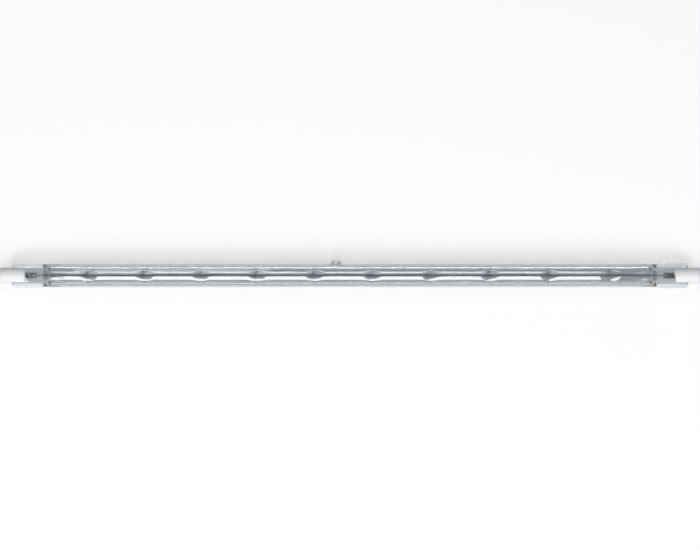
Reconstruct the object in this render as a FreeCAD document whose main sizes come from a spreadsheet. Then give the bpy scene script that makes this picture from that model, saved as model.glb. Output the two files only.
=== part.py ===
import FreeCAD, Part
import math
import os
import Sketcher
from FreeCAD import Placement, Rotation, Vector

# Linear halogen bulb: a fused quartz tube lying along X, pinched flat at both ends,
# with a coiled tungsten filament carried on its axis by spiral supports.
# X runs along the tube, the flat faces of the pinches look up and down (Z), and the
# sealed-off exhaust tip stands out along +Y. The origin is on the axis at mid-length.

# Driving sizes in millimetres
SIZES = {
    "overall_length": 330.8,
    "tube_diameter": 11.0,
    "tube_wall": 1.0,
    "pinch_setback": 5.7,
    "pinch_length": 14.4,
    "pinch_width": 12.0,
    "press_length": 4.2,
    "press_round": 1.5,
    "ridge_thickness": 4.2,
    "web_thickness": 2.4,
    "ridge_round": 0.8,
    "ridge_edge_round": 0.5,
    "ridge_draft": 0.7,
    "ridge_overrun": 0.6,
    "plan_round": 1.3,
    "cavity_end_gap": 0.3,
    "cavity_end_width": 4.0,
    "tip_offset": 6.6,
    "tip_base_radius": 3.0,
    "tip_radius": 2.5,
    "tip_height": 1.45,
    "tip_round": 0.6,
    "pip_offset": 0.8,
    "pip_radius": 0.9,
    "pip_height": 0.45,
    "exhaust_radius": 0.5,
    "dimple_length": 6.9,
    "dimple_depth": 0.5,
    "support_inset_left": 41.8,
    "support_inset_right": 42.5,
    "support_skew": 0.044,
    "support_wire": 0.4,
    "support_pitch": 0.75,
    "support_fit": 0.03,
    "ring_fit": 0.03,
    "ring_pitch": 1.6,
    "coil_wire": 0.3,
    "coil_fit": 0.02,
    "coil_setback": 23.6,
    "lead_diameter": 0.8,
    "lead_insert": 4.0,
    "lead_fit": 0.02,
    "weld_overlap": 2.0,
    "weld_flat": 0.12,
    "foil_width": 2.8,
    "foil_thickness": 0.06,
    "foil_outer_margin": 2.5,
    "foil_inner_margin": 2.8,
    "cap_diameter": 7.5,
    "cap_length": 11.6,
    "cap_bevel": 0.9,
    "cap_bevel_run": 0.5,
    "jaw_relief": 0.25,
    "jaw_clearance": 0.4,
    "seat_gap": 0.3,
    "cement_gap": 0.2,
    "cement_bead": 0.6,
    "recess_diameter": 3.8,
    "recess_depth": 1.7,
    "contact_diameter": 3.2,
    "contact_thickness": 0.6,
    "contact_fit": 0.03,
    "shank_diameter": 1.7,
    "shank_gap": 0.9,
    "shank_floor": 0.4,
    "cut_margin": 1.0,
}
SUPPORT_COUNT = 10
SUPPORT_TURN_STEP = 137.5
DIMPLE_SECTOR = 40

doc = FreeCAD.newDocument("linear_halogen_bulb")
sheet = doc.addObject("Spreadsheet::Sheet", "Sizes")
for row, (alias, size) in enumerate(SIZES.items(), 1):
    sheet.set(f"A{row}", alias.replace("_", " "))
    sheet.set(f"B{row}", str(size))
    sheet.setAlias(f"B{row}", alias)
doc.recompute()


def expression(text):
    """Put the sheet's name before each size named in a formula."""
    words = []
    word = ""
    for letter in text + " ":
        if letter.isalnum() or letter == "_":
            word += letter
            continue
        words.append(f"Sizes.{word}" if word in SIZES else word)
        words.append(letter)
        word = ""
    return "".join(words).strip()


def value(text):
    """The number that a formula of sizes comes to."""
    result = sheet.evalExpression(expression(text))
    return float(getattr(result, "Value", result))


def bind(obj, prop, text):
    obj.setExpression(prop, expression(text))


# Formulas that several pieces share
TUBE_RADIUS = "tube_diameter / 2"
BORE_RADIUS = "(tube_diameter / 2 - tube_wall)"
PINCH_END = "(pinch_setback + pinch_length)"
SHOULDER = "(pinch_setback + pinch_length + press_length)"
LEAD_RADIUS = "lead_diameter / 2"
FOIL_TOP = "(lead_diameter / 2 - weld_flat)"
FOIL_OUTER = "(pinch_setback + foil_outer_margin)"
FOIL_INNER = "(pinch_setback + pinch_length - foil_inner_margin)"
COIL_RADIUS = "(lead_diameter / 2 + coil_fit + coil_wire)"
JAW_RADIUS = "(cap_diameter / 2 - jaw_relief)"
WEB_HALF_WIDTH = "(cap_diameter / 2 - jaw_relief + jaw_clearance)"
RIDGE_WIDTH = f"(pinch_width / 2 - {WEB_HALF_WIDTH})"
HEAD_LENGTH = "(pinch_setback - seat_gap)"
SLOT = "(web_thickness + 2 * cement_gap)"
SHANK_END = f"({HEAD_LENGTH} - shank_gap)"
DIMPLE_RADIUS = "((dimple_length ^ 2 / 4 + dimple_depth ^ 2) / (2 * dimple_depth))"


# Drawing helpers
def new_body(name):
    return doc.addObject("PartDesign::Body", name)


def origin_part(body, role):
    return next(item for item in body.Origin.OriginFeatures if item.Role == role)


def new_sketch(body, name, plane):
    sketch = body.newObject("Sketcher::SketchObject", name)
    sketch.AttachmentSupport = [(origin_part(body, plane), "")]
    sketch.MapMode = "FlatFace"
    return sketch


def fix(sketch, kind, geometry, point, text):
    """Hold one coordinate of a sketch point at a formula of sizes, on either side of the origin."""
    amount = value(text)
    if amount >= 0:
        index = sketch.addConstraint(Sketcher.Constraint(kind, -1, 1, geometry, point, amount))
        bind(sketch, f"Constraints[{index}]", text)
    else:
        index = sketch.addConstraint(Sketcher.Constraint(kind, geometry, point, -1, 1, -amount))
        bind(sketch, f"Constraints[{index}]", f"-({text})")


def fix_point(sketch, geometry, point, x, y):
    fix(sketch, "DistanceX", geometry, point, x)
    fix(sketch, "DistanceY", geometry, point, y)


def draw_outline(sketch, corners):
    """Closed outline of straight edges, each corner held at two formulas."""
    spots = [Vector(value(x), value(y), 0) for x, y in corners]
    first = sketch.GeometryCount
    count = len(corners)
    for i in range(count):
        sketch.addGeometry(Part.LineSegment(spots[i], spots[(i + 1) % count]))
    for i in range(count):
        following = first + (i + 1) % count
        sketch.addConstraint(Sketcher.Constraint("Coincident", first + i, 2, following, 1))
    for i, (x, y) in enumerate(corners):
        fix_point(sketch, first + i, 1, x, y)


def pad(body, sketch, name, length, side="Symmetric"):
    feature = body.newObject("PartDesign::Pad", name)
    feature.Profile = sketch
    feature.SideType = side
    bind(feature, "Length", length)
    return feature


def pocket_through(body, sketch, name):
    """Cut a sketch through the whole body, both ways from its plane."""
    doc.recompute()
    before = body.Tip.Shape.Volume
    feature = body.newObject("PartDesign::Pocket", name)
    feature.Profile = sketch
    feature.Type = "ThroughAll"
    feature.SideType = "Symmetric"
    doc.recompute()
    if feature.Shape.Volume >= before:
        raise RuntimeError(f"{name} cuts nothing")
    return feature


def revolve(body, sketch, name, axis):
    feature = body.newObject("PartDesign::Revolution", name)
    feature.Profile = sketch
    feature.ReferenceAxis = (origin_part(body, axis), [""])
    feature.Angle = 360
    return feature


def round_edges(body, name, radius, chosen):
    """Fillet the edges of the body's tip that the given test picks."""
    doc.recompute()
    base = body.Tip
    names = [f"Edge{i}" for i, edge in enumerate(base.Shape.Edges, 1) if chosen(edge)]
    if not names:
        raise RuntimeError(f"{name} finds no edge")
    feature = body.newObject("PartDesign::Fillet", name)
    feature.Base = (base, names)
    bind(feature, "Radius", radius)
    doc.recompute()
    return feature


def along(edge, axis):
    ends = edge.Vertexes
    if len(ends) != 2 or not isinstance(edge.Curve, Part.Line):
        return False
    return abs((ends[1].Point - ends[0].Point).normalize().dot(axis)) > 0.999


def middle(edge):
    return edge.valueAt((edge.FirstParameter + edge.LastParameter) / 2)


def near(one, other):
    return abs(one - other) < 1e-4


def combine(kind, name, base, tool):
    feature = doc.addObject(kind, name)
    feature.Base = base
    feature.Tool = tool
    return feature


def gather(kind, name, shapes):
    feature = doc.addObject(kind, name)
    if kind == "Part::Compound":
        feature.Links = shapes
    else:
        feature.Shapes = shapes
    return feature


ENDS = {"left": -1, "right": 1}
OUTWARD = {"left": Vector(-1, 0, 0), "right": Vector(1, 0, 0)}
INWARD = {"left": Vector(1, 0, 0), "right": Vector(-1, 0, 0)}


def stand_at_end(obj, side):
    """Stand a piece drawn with the lamp's end face at its origin and X outward at one end."""
    turn = 0 if side == "right" else 180
    obj.Placement = Placement(Vector(0, 0, 0), Rotation(Vector(0, 0, 1), turn))
    bind(obj, "Placement.Base.x", f"{ENDS[side]} * overall_length / 2")


def rod(name, side, radius, start, length):
    """A round bar on the axis that runs inward from a depth below the lamp's end."""
    bar = doc.addObject("Part::Cylinder", name)
    bind(bar, "Radius", radius)
    bind(bar, "Height", length)
    bar.Placement = Placement(Vector(0, 0, 0), Rotation(Vector(0, 0, 1), INWARD[side]))
    bind(bar, "Placement.Base.x", f"{ENDS[side]} * (overall_length / 2 - ({start}))")
    return bar


def slab(name, side, start, end, width, bottom, top):
    """A flat block between two depths below the lamp's end, centred across."""
    block = doc.addObject("Part::Box", name)
    bind(block, "Length", f"{end} - ({start})")
    bind(block, "Width", width)
    bind(block, "Height", f"{top} - ({bottom})")
    inner = end if side == "right" else start
    bind(block, "Placement.Base.x", f"{ENDS[side]} * (overall_length / 2 - ({inner}))")
    bind(block, "Placement.Base.y", f"-({width}) / 2")
    bind(block, "Placement.Base.z", bottom)
    return block


# Molybdenum foils and the wires welded on them
def foil(side):
    return slab(
        f"foil_{side}",
        side,
        FOIL_OUTER,
        FOIL_INNER,
        "foil_width",
        f"-{FOIL_TOP} - foil_thickness",
        f"-{FOIL_TOP}",
    )


def lead(name, side, start, end, flat_start, flat_end):
    """A wire with a flat along its welded end, where it lies on the foil."""
    wire = rod(f"{name}_wire", side, LEAD_RADIUS, start, f"{end} - ({start})")
    flat = slab(
        f"{name}_flat",
        side,
        flat_start,
        flat_end,
        "2 * lead_diameter",
        "-lead_diameter",
        f"-{FOIL_TOP}",
    )
    return combine("Part::Cut", name, wire, flat)


def outer_lead(side):
    start = "recess_depth + contact_thickness + shank_floor"
    end = f"{FOIL_OUTER} + weld_overlap"
    return lead(f"outer_lead_{side}", side, start, end, FOIL_OUTER, f"{end} + cut_margin")


def inner_lead(side):
    start = f"{FOIL_INNER} - weld_overlap"
    end = "coil_setback + lead_insert"
    return lead(f"inner_lead_{side}", side, start, end, f"{start} - cut_margin", FOIL_INNER)


foils = {side: foil(side) for side in ENDS}
outer_leads = {side: outer_lead(side) for side in ENDS}
inner_leads = {side: inner_lead(side) for side in ENDS}


# Quartz tube, pressed flat towards its ends
def lying_cylinder(name, radius, length):
    bar = doc.addObject("Part::Cylinder", name)
    bind(bar, "Radius", radius)
    bind(bar, "Height", length)
    bar.Placement = Placement(Vector(0, 0, 0), Rotation(Vector(0, 0, 1), Vector(1, 0, 0)))
    bind(bar, "Placement.Base.x", f"-({length}) / 2")
    return bar


def press_jaw(name, side, face, inset):
    """The space a press jaw takes: a slope with rounded ends, from the round tube down to the flat web."""
    body = new_body(name)
    sketch = new_sketch(body, f"{name}_profile", "XZ_Plane")
    high = f"{TUBE_RADIUS} - {inset}"
    low = f"web_thickness / 2 - {inset}"
    start = f"-{SHOULDER}"
    stop = f"-{PINCH_END}"
    outside = "cut_margin - pinch_setback"
    above = "tube_diameter / 2 + cut_margin"
    run = value("press_length")
    drop = value(f"({high}) - ({low})")
    radius = value("press_round")
    fall = drop - 2 * radius
    sweep = math.atan2(fall, run) + math.asin(2 * radius / math.hypot(run, fall))
    crown = Vector(value(start), value(high) - radius, 0)
    foot = Vector(value(stop), value(low) + radius, 0)
    up = Vector(0, 0, 1)
    quarter = math.pi / 2
    sketch.addGeometry(Part.ArcOfCircle(Part.Circle(crown, up, radius), quarter - sweep, quarter))
    sketch.addGeometry(Part.ArcOfCircle(Part.Circle(foot, up, radius), -quarter - sweep, -quarter))
    corners = [(stop, low), (outside, low), (outside, above), (start, above), (start, high)]
    spots = [Vector(value(x), value(y), 0) for x, y in corners]
    for one, other in zip(spots, spots[1:]):
        sketch.addGeometry(Part.LineSegment(one, other))
    across = Vector(radius * math.sin(sweep), radius * math.cos(sweep), 0)
    slope = sketch.addGeometry(Part.LineSegment(crown + across, foot - across))
    sketch.addConstraint(Sketcher.Constraint("Tangent", 0, 1, slope, 1))
    sketch.addConstraint(Sketcher.Constraint("Tangent", 1, 1, slope, 2))
    sketch.addConstraint(Sketcher.Constraint("Equal", 0, 1))
    rounding = sketch.addConstraint(Sketcher.Constraint("Radius", 0, radius))
    bind(sketch, f"Constraints[{rounding}]", "press_round")
    sketch.addConstraint(Sketcher.Constraint("Coincident", 1, 2, 2, 1))
    for line in (2, 3, 4):
        sketch.addConstraint(Sketcher.Constraint("Coincident", line, 2, line + 1, 1))
    sketch.addConstraint(Sketcher.Constraint("Coincident", 5, 2, 0, 2))
    for line, (x, y) in enumerate(corners[:-1], 2):
        fix_point(sketch, line, 1, x, y)
    fix_point(sketch, 5, 2, *corners[-1])
    fix(sketch, "DistanceX", 0, 3, start)
    fix(sketch, "DistanceX", 1, 3, stop)
    pad(body, sketch, f"{name}_pad", "pinch_width + 2 * cut_margin")
    stand_at_end(body, side)
    if face < 0:
        body.Placement = body.Placement * Placement(Vector(0, 0, 0), Rotation(Vector(1, 0, 0), 180))
    return body


def jaws(name, inset):
    shapes = [
        press_jaw(f"{name}_{side}_{label}", side, face, inset)
        for side in ENDS
        for label, face in (("top", 1), ("bottom", -1))
    ]
    return gather("Part::Compound", name, shapes)


def pinch_block(name, side, thickness):
    """Flat block with the plan of a pinch, its ridges ending at the foot of the press slope."""
    body = new_body(name)
    plan = new_sketch(body, f"{name}_plan", "XY_Plane")
    inner = f"-{PINCH_END} - ridge_overrun"
    outer = "-pinch_setback"
    half = "pinch_width / 2"
    draw_outline(plan, [(outer, f"-{half}"), (outer, half), (inner, half), (inner, f"-{half}")])
    pad(body, plan, f"{name}_pad", thickness)
    stand_at_end(body, side)
    return body


def pinch(side):
    """Flat pinch seal of I section: a web between two rounded ridges along its edges."""
    name = f"pinch_{side}"
    body = pinch_block(f"{name}_section", side, "ridge_thickness")
    level = value("ridge_thickness / 2")
    x_axis = Vector(1, 0, 0)
    ridge_round = f"min(ridge_round; 0.45 * {RIDGE_WIDTH}; 0.45 * ridge_thickness)"
    round_edges(body, f"{name}_outer_edges", ridge_round, lambda e: along(e, x_axis))
    faces = new_sketch(body, f"{name}_faces", "YZ_Plane")
    low = "web_thickness / 2"
    high = "ridge_thickness / 2 + cut_margin"
    wide = f"({WEB_HALF_WIDTH} + ridge_draft)"
    for sign in ("", "-"):
        draw_outline(
            faces,
            [
                (f"-{WEB_HALF_WIDTH}", f"{sign}({low})"),
                (WEB_HALF_WIDTH, f"{sign}({low})"),
                (wide, f"{sign}({high})"),
                (f"-{wide}", f"{sign}({high})"),
            ],
        )
    pocket_through(body, faces, f"{name}_web")
    ridge_middle = value(f"({WEB_HALF_WIDTH} + pinch_width / 2) / 2")

    def on_ridge_edge(edge):
        spot = middle(edge)
        return along(edge, x_axis) and abs(spot.y) < ridge_middle and near(abs(spot.z), level)

    depth = "(ridge_thickness - web_thickness) / 2"
    edge_round = f"min(ridge_edge_round; 0.25 * {RIDGE_WIDTH}; 0.45 * {depth})"
    round_edges(body, f"{name}_ridge_edges", edge_round, on_ridge_edge)
    plan = pinch_block(f"{name}_outline", side, "ridge_thickness + 2 * cut_margin")
    round_edges(plan, f"{name}_corners", "plan_round", lambda e: along(e, Vector(0, 0, 1)))
    return combine("Part::Common", name, body, plan)


def exhaust_tip():
    """Melted-off stub of the exhaust tube: a flared button with a small pip beside its middle."""
    body = new_body("exhaust_button")
    sketch = new_sketch(body, "exhaust_button_profile", "XY_Plane")
    root = BORE_RADIUS
    top = f"{TUBE_RADIUS} + tip_height"
    neck = f"{TUBE_RADIUS} + tip_height / 2 - tip_round / 2"
    flare = "tip_base_radius + (tip_base_radius - tip_radius) * 2 * tube_wall / (tip_height - tip_round)"
    corners = [
        ("0", root),
        (flare, root),
        ("tip_radius", neck),
        ("tip_radius", f"{top} - tip_round"),
        ("tip_radius - tip_round", top),
        ("0", top),
    ]
    draw_outline(sketch, corners)
    revolve(body, sketch, "exhaust_button_turn", "Y_Axis")
    bind(body, "Placement.Base.x", "-tip_offset")
    upright = Rotation(Vector(0, 0, 1), Vector(0, 1, 0))
    pip = doc.addObject("Part::Cone", "exhaust_pip")
    bind(pip, "Radius1", "1.5 * pip_radius")
    bind(pip, "Radius2", "pip_radius / 2")
    bind(pip, "Height", "2 * pip_height")
    pip.Placement = Placement(Vector(0, 0, 0), upright)
    bind(pip, "Placement.Base.x", "-tip_offset - pip_offset")
    bind(pip, "Placement.Base.y", f"{top} - pip_height")
    return [body, pip]


def exhaust_bore():
    """Remains of the exhaust tube's bore, open to the inside of the lamp."""
    bore = doc.addObject("Part::Cylinder", "exhaust_bore")
    bind(bore, "Radius", "exhaust_radius")
    bind(bore, "Height", "2 * tube_wall + tip_height / 2")
    bore.Placement = Placement(Vector(0, 0, 0), Rotation(Vector(0, 0, 1), Vector(0, 1, 0)))
    bind(bore, "Placement.Base.x", "-tip_offset")
    bind(bore, "Placement.Base.y", f"{BORE_RADIUS} - tube_wall")
    return bore


def support_place(i):
    """Where a support sits along the lamp: the row is a little closer together at its left."""
    share = f"({i} / {SUPPORT_COUNT - 1})"
    span = "(overall_length - support_inset_left - support_inset_right)"
    start = "support_inset_left - overall_length / 2"
    return f"{start} + {span} * ({share} + support_skew * {share} * ({share} - 1))"


def dimple_tools(name, radius):
    """Sectors of large wheels that roll a shallow dimple into the top of the tube at each support."""
    width = "tube_diameter"
    downward = Rotation(Vector(0, 0, -1), Vector(-1, 0, 0), Vector(0, 1, 0), "ZXY")
    centre = Rotation(Vector(0, 0, 1), -DIMPLE_SECTOR / 2)
    tools = []
    for i in range(SUPPORT_COUNT):
        wheel = doc.addObject("Part::Cylinder", f"{name}_{i + 1:02d}")
        bind(wheel, "Radius", radius)
        bind(wheel, "Height", width)
        wheel.Angle = DIMPLE_SECTOR
        wheel.Placement = Placement(Vector(0, 0, 0), downward * centre)
        bind(wheel, "Placement.Base.x", support_place(i))
        bind(wheel, "Placement.Base.y", f"-{width} / 2")
        bind(wheel, "Placement.Base.z", f"{TUBE_RADIUS} - dimple_depth + {DIMPLE_RADIUS}")
        tools.append(wheel)
    return gather("Part::Compound", name, tools)


def cavity():
    """Gas space: the bore, narrowing in plan and pressed flat towards each pinch."""
    body = new_body("bore")
    sketch = new_sketch(body, "bore_profile", "XY_Plane")
    shoulder = f"(overall_length / 2 - {SHOULDER})"
    end = f"(overall_length / 2 - {PINCH_END} - cavity_end_gap)"
    corners = [
        (f"-{end}", "0"),
        (f"-{end}", "cavity_end_width / 2"),
        (f"-{shoulder}", BORE_RADIUS),
        (shoulder, BORE_RADIUS),
        (end, "cavity_end_width / 2"),
        (end, "0"),
    ]
    draw_outline(sketch, corners)
    revolve(body, sketch, "bore_turn", "X_Axis")
    pressed = combine("Part::Cut", "pressed_bore", body, jaws("inner_jaws", "tube_wall"))
    bumps = dimple_tools("dimple_bumps", f"({DIMPLE_RADIUS} + tube_wall)")
    return combine("Part::Cut", "gas_space", pressed, bumps)


def quartz_envelope():
    blank = lying_cylinder("tube_blank", TUBE_RADIUS, "overall_length - 2 * pinch_setback")
    pressed = combine("Part::Cut", "pressed_tube", blank, jaws("outer_jaws", "0"))
    outside = gather("Part::MultiFuse", "outside", [pressed, pinch("left"), pinch("right")] + exhaust_tip())
    dimpled = combine("Part::Cut", "dimpled_outside", outside, dimple_tools("dimples", DIMPLE_RADIUS))
    space = gather("Part::MultiFuse", "inside", [cavity(), exhaust_bore()])
    hollow = combine("Part::Cut", "hollow_envelope", dimpled, space)
    sealed = [piece[side] for side in ENDS for piece in (foils, outer_leads, inner_leads)]
    seals = gather("Part::MultiFuse", "seals", sealed)
    return combine("Part::Cut", "quartz_envelope", hollow, seals)


# Ceramic caps with a slot for the pinch and a recess for the lampholder's contact
def cap(side):
    body = new_body(f"cap_{side}")
    sketch = new_sketch(body, f"cap_{side}_profile", "XY_Plane")
    outer = "cap_diameter / 2"
    seat = "contact_diameter / 2 + contact_fit"
    hole = "shank_diameter / 2 + contact_fit"
    recess = "recess_diameter / 2"
    seat_depth = "-recess_depth - contact_thickness"
    corners = [
        ("0", recess),
        ("0", f"{outer} - cap_bevel"),
        ("-0.3 * cap_bevel_run", f"{outer} - 0.35 * cap_bevel"),
        ("-cap_bevel_run", outer),
        (f"-{HEAD_LENGTH}", outer),
        (f"-{HEAD_LENGTH}", JAW_RADIUS),
        ("-cap_length", JAW_RADIUS),
        ("-cap_length", hole),
        (seat_depth, hole),
        (seat_depth, seat),
        ("-recess_depth", seat),
        ("-recess_depth", recess),
    ]
    draw_outline(sketch, corners)
    revolve(body, sketch, f"cap_{side}_turn", "X_Axis")
    slot = new_sketch(body, f"cap_{side}_slot_profile", "XZ_Plane")
    end = "-cap_length - cut_margin"
    bottom = f"-{HEAD_LENGTH}"
    half = f"{SLOT} / 2"
    draw_outline(slot, [(end, f"-{half}"), (bottom, f"-{half}"), (bottom, half), (end, half)])
    pocket_through(body, slot, f"cap_{side}_slot")
    stand_at_end(body, side)
    return body


# Contact button, its shank crimped on the outer lead
def contact(side):
    body = new_body(f"contact_{side}")
    sketch = new_sketch(body, f"contact_{side}_profile", "XY_Plane")
    face = "-recess_depth"
    back = "-recess_depth - contact_thickness"
    floor = f"{back} - shank_floor"
    bore = f"{LEAD_RADIUS} + lead_fit"
    shank = "shank_diameter / 2"
    corners = [
        (face, "0"),
        (face, "contact_diameter / 2"),
        (back, "contact_diameter / 2"),
        (back, shank),
        (f"-{SHANK_END}", shank),
        (f"-{SHANK_END}", bore),
        (floor, bore),
        (floor, "0"),
    ]
    draw_outline(sketch, corners)
    revolve(body, sketch, f"contact_{side}_turn", "X_Axis")
    stand_at_end(body, side)
    return body


# Cement that fills the slot of a cap round the pinch
def cement(side):
    length = f"cap_length + cement_bead - {HEAD_LENGTH}"
    round_part = rod(f"cement_{side}_round", side, JAW_RADIUS, HEAD_LENGTH, length)
    end = "cap_length + cement_bead"
    wide = "cap_diameter"
    layer = slab(f"cement_{side}_layer", side, HEAD_LENGTH, end, wide, f"-{SLOT} / 2", f"{SLOT} / 2")
    filled = combine("Part::Common", f"cement_{side}_fill", round_part, layer)
    web = slab(
        f"cement_{side}_web",
        side,
        "pinch_setback",
        f"{end} + cut_margin",
        wide,
        "-web_thickness / 2",
        "web_thickness / 2",
    )
    passage = rod(f"cement_{side}_passage", side, LEAD_RADIUS, f"{HEAD_LENGTH} - cut_margin", "pinch_setback")
    cuts = gather("Part::MultiFuse", f"cement_{side}_cuts", [web, passage])
    return combine("Part::Cut", f"cement_{side}", filled, cuts)


# Filament coil, drawn as the sleeve that its close turns fill
def filament():
    body = new_body("filament")
    sketch = new_sketch(body, "filament_section", "YZ_Plane")
    for text in (COIL_RADIUS, f"{LEAD_RADIUS} + coil_fit"):
        ring = sketch.addGeometry(Part.Circle(Vector(0, 0, 0), Vector(0, 0, 1), value(text)))
        sketch.addConstraint(Sketcher.Constraint("Coincident", ring, 3, -1, 1))
        index = sketch.addConstraint(Sketcher.Constraint("Radius", ring, value(text)))
        bind(sketch, f"Constraints[{index}]", text)
    pad(body, sketch, "filament_sleeve", "overall_length - 2 * coil_setback")
    return body


# Spiral support: close turns on the coil that open out into a ring just inside the tube
def support_shape():
    wire = value("support_wire")
    pitch = value("support_pitch")
    wire_sides = 5
    tight_sides = 8
    flare_sides = 10
    ring_sides = 12
    tight_turns = 1.5
    flare_turns = 1.0
    ring_turns = 1.05
    inner_reach = wire / 2 * math.cos(math.pi / wire_sides)
    tight = (value(f"{COIL_RADIUS} + support_fit") + inner_reach) / math.cos(math.pi / tight_sides)
    ring = value(f"{BORE_RADIUS} - dimple_depth - ring_fit - support_wire / 2")
    ring_pitch = value("ring_pitch")
    opened = (tight_turns + flare_turns) * pitch
    stations = []
    for i in range(round(tight_turns * tight_sides)):
        turns = i / tight_sides
        stations.append((turns, tight, turns * pitch))
    for i in range(round(flare_turns * flare_sides)):
        share = i / (flare_turns * flare_sides)
        ease = share * share * (3 - 2 * share)
        turns = tight_turns + share * flare_turns
        stations.append((turns, tight + (ring - tight) * ease, turns * pitch))
    for i in range(round(ring_turns * ring_sides) + 1):
        turns = tight_turns + flare_turns + i / ring_sides
        stations.append((turns, ring, opened + i / ring_sides * ring_pitch))
    middle_lift = opened + ring_turns / 2 * ring_pitch
    path = []
    for turns, radius, lift in stations:
        angle = 2 * math.pi * turns
        path.append(Vector(lift - middle_lift, radius * math.cos(angle), radius * math.sin(angle)))
    sections = []
    last = len(path) - 1
    for i, spot in enumerate(path):
        heading = (path[min(i + 1, last)] - path[max(i - 1, 0)]).normalize()
        side = Vector(0, spot.y, spot.z)
        side = (side - heading * side.dot(heading)).normalize()
        rise = heading.cross(side)
        corners = []
        for corner in range(wire_sides):
            angle = 2 * math.pi * corner / wire_sides
            corners.append(spot + (side * math.cos(angle) + rise * math.sin(angle)) * wire / 2)
        sections.append(Part.makePolygon(corners + corners[:1]))
    return Part.makeLoft(sections, True, True)


def supports():
    shape = support_shape()
    pieces = []
    for i in range(SUPPORT_COUNT):
        piece = doc.addObject("Part::Feature", f"filament_support_{i + 1:02d}")
        piece.Shape = shape
        piece.Placement = Placement(Vector(0, 0, 0), Rotation(Vector(1, 0, 0), SUPPORT_TURN_STEP * i))
        bind(piece, "Placement.Base.x", support_place(i))
        pieces.append(piece)
    return pieces


nodes = [quartz_envelope(), filament()] + supports()
for end in ENDS:
    nodes += [cap(end), contact(end), cement(end), foils[end], outer_leads[end], inner_leads[end]]
for node in nodes:
    node.Label = node.Name
doc.recompute()

# Nothing is written unless every feature and every piece is sound
for item in doc.Objects:
    if "Invalid" in item.State or "Error" in item.State:
        raise RuntimeError(f"{item.Name} failed: {item.State}")
for node in nodes:
    if node.Shape.isNull() or not node.Shape.isValid():
        raise RuntimeError(f"{node.Label} has no sound shape")
    if len(node.Shape.Solids) != 1:
        raise RuntimeError(f"{node.Label} has {len(node.Shape.Solids)} solids")

os.makedirs("parts", exist_ok=True)
for node in nodes:
    node.Shape.exportStep(f"parts/{node.Label}.step")
    print(f"{node.Label}: {node.Shape.Volume:.3f} mm3")
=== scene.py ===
import math

import bpy
import numpy as np
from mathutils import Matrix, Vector, noise

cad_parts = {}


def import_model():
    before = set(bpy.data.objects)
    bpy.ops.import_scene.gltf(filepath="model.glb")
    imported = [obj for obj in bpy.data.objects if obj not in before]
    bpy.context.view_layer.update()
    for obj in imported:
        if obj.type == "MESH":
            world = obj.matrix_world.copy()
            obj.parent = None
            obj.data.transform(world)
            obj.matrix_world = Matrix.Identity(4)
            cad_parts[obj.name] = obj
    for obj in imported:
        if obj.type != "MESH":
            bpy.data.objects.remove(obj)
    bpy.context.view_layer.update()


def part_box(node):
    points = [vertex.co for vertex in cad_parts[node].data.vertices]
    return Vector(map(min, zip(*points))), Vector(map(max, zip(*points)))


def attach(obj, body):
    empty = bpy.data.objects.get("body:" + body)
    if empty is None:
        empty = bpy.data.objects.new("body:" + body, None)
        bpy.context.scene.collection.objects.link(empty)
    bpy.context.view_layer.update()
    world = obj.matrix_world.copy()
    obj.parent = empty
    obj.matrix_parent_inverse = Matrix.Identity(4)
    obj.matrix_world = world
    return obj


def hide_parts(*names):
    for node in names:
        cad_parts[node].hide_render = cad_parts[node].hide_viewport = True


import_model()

# Linear halogen bulb, seen from straight above on a white floor.
# Lengths are in metres. X runs along the tube, +Y is the side of the exhaust tip, Z is up.
MM = 0.001
BODY = "root"
ENDS = {"left": -1, "right": 1}

# Driving sizes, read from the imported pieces
GLASS_LOW, GLASS_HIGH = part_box("quartz_envelope")
CAP_LOW, CAP_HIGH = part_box("cap_right")
_, COIL_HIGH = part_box("filament")
END = CAP_HIGH.x
SETBACK = END - GLASS_HIGH.x
TUBE_RADIUS = GLASS_HIGH.z
TIP_TOP = GLASS_HIGH.y
PINCH_HALF_WIDTH = -GLASS_LOW.y
CAP_RADIUS = CAP_HIGH.z
CAP_LENGTH = CAP_HIGH.x - CAP_LOW.x
COIL_RADIUS = COIL_HIGH.z
COIL_END = COIL_HIGH.x

# Sizes of the tube, its pinches and the press slopes between them
WALL = 1.0 * MM
BORE_RADIUS = TUBE_RADIUS - WALL
PINCH_LENGTH = 14.4 * MM
PINCH_END = SETBACK + PINCH_LENGTH
PLAN_ROUND = 1.3 * MM
RIM_ROUND = 0.3 * MM
RIDGE_LEVEL = 2.1 * MM
RIDGE_ROUND = 0.8 * MM
RIDGE_EDGE_ROUND = 0.4 * MM
RIDGE_TOP_START = 4.23 * MM
RIDGE_OVERRUN = 0.6 * MM
RIDGE_END = PINCH_END + RIDGE_OVERRUN
WEB_LEVEL = 1.2 * MM
WEB_HALF_WIDTH = 3.9 * MM
WEB_ROUND = 0.35 * MM
PRESS_LENGTH = 4.2 * MM
PRESS_ROUND = 1.5 * MM
PRESS_BLEND = 0.12 * MM
SHOULDER = PINCH_END + PRESS_LENGTH
CAVITY_GAP = 0.3 * MM
CAVITY_END = PINCH_END + CAVITY_GAP
CAVITY_END_HALF_WIDTH = 2.0 * MM
CAVITY_BLEND = 0.1 * MM

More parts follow.
